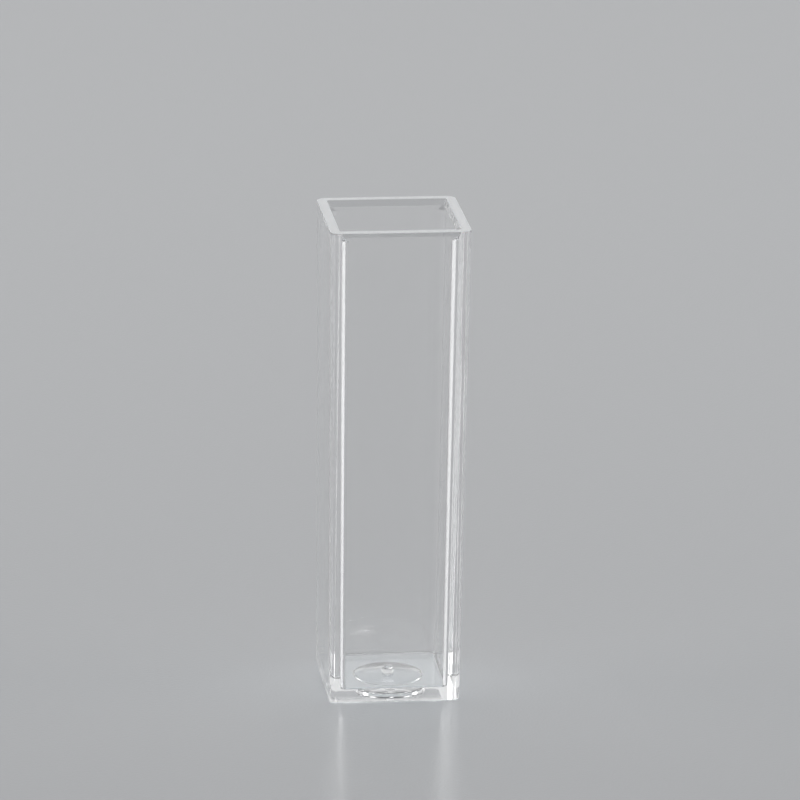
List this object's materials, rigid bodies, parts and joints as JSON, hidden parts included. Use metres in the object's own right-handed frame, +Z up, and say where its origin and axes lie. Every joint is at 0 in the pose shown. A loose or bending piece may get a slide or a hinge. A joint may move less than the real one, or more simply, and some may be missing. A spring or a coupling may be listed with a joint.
{
  "type": "cuvette",
  "caption": "Clear square cuvette with an open mouth, drafted walls, rounded upright corners, flats cut across the corners of its well and a recessed foot, for holding a liquid in a light beam.",
  "frame": {"origin": "centre of the foot, on the plane that the cuvette stands on", "axes": "+Z up the well to the open mouth; X and Y square to the two pairs of clear side walls"},
  "size_m": [0.0126, 0.0126, 0.044],
  "materials": {
    "crystal_polystyrene": "clear, polished by the mould, with a satin rim and underside"
  },
  "bodies": {
    "root": {"cuvette": "crystal_polystyrene"}
  },
  "joints": []
}
